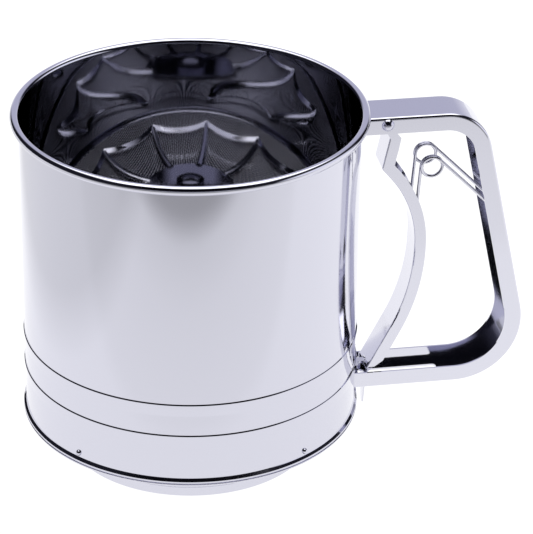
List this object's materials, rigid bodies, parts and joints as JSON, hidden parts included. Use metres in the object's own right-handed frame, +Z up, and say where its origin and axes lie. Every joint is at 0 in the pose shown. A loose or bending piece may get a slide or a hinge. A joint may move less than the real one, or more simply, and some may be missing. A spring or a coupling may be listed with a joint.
{
  "type": "flour sifter",
  "caption": "Squeeze-handle flour sifter: steel can with woven screens, turning agitators, sprung trigger and tapered outlet collar.",
  "frame": {"origin": "centre of the outlet collar's lower rim, on the can's axis, in the plane the object stands on", "axes": "+Z up along the can's axis, +X towards the handle, +Y across the handle"},
  "size_m": [0.1938, 0.132, 0.1371],
  "materials": {
    "polished_steel": "mirror-polished stainless steel sheet",
    "handle_steel": "polished stainless steel channel",
    "pressed_steel": "bright pressed stainless steel",
    "rivet_steel": "turned or headed stainless steel",
    "mesh_steel": "fine woven stainless wire",
    "spring_wire": "drawn spring wire, plated"
  },
  "bodies": {
    "can": {"can_wall": "polished_steel", "rim_wire": "polished_steel", "outlet_collar": "polished_steel", "collar_rivets": "rivet_steel", "upper_screen": "mesh_steel", "lower_screen": "mesh_steel", "upper_screen_frame": "polished_steel", "lower_screen_frame": "polished_steel", "upper_eyelet": "rivet_steel", "lower_eyelet": "rivet_steel", "bearing_bridge": "pressed_steel", "bridge_rivets": "rivet_steel", "shaft_bush": "rivet_steel", "handle": "handle_steel", "pivot_rivet": "rivet_steel", "return_spring": "spring_wire"},
    "lever": {"trigger_lever": "handle_steel"},
    "link": {"drive_link": "pressed_steel"},
    "agitator": {"agitator_shaft": "rivet_steel", "upper_agitator": "pressed_steel", "lower_agitator": "pressed_steel", "hub_rivet": "rivet_steel", "lower_hub_collar": "rivet_steel", "crank_arm": "pressed_steel", "crank_pin": "rivet_steel", "shaft_clip": "rivet_steel"}
  },
  "joints": [
    {"name": "trigger_squeeze", "type": "hinge", "parent": "can", "child": "lever", "pos_m": [0.0723, 0, 0.1291], "axis": [0, -1, 0], "range_deg": [0, 12], "stiffness_Nm_per_rad": 1.2, "springref_deg": -20.05, "deforming": ["return_spring"]},
    {"name": "link_swing", "type": "hinge", "parent": "lever", "child": "link", "pos_m": [0.0677, 0, 0.0249], "axis": [0, 1, 0], "range_deg": [0, 12]},
    {"name": "agitator_turn", "type": "hinge", "parent": "can", "child": "agitator", "pos_m": [0, 0, 0.018], "axis": [0, 0, -1], "range_deg": [0, 60]}
  ],
  "couplings": [
    {"joint": "link_swing", "follows": "trigger_squeeze", "ratio": 1},
    {"joint": "agitator_turn", "follows": "trigger_squeeze", "ratio": 5}
  ]
}
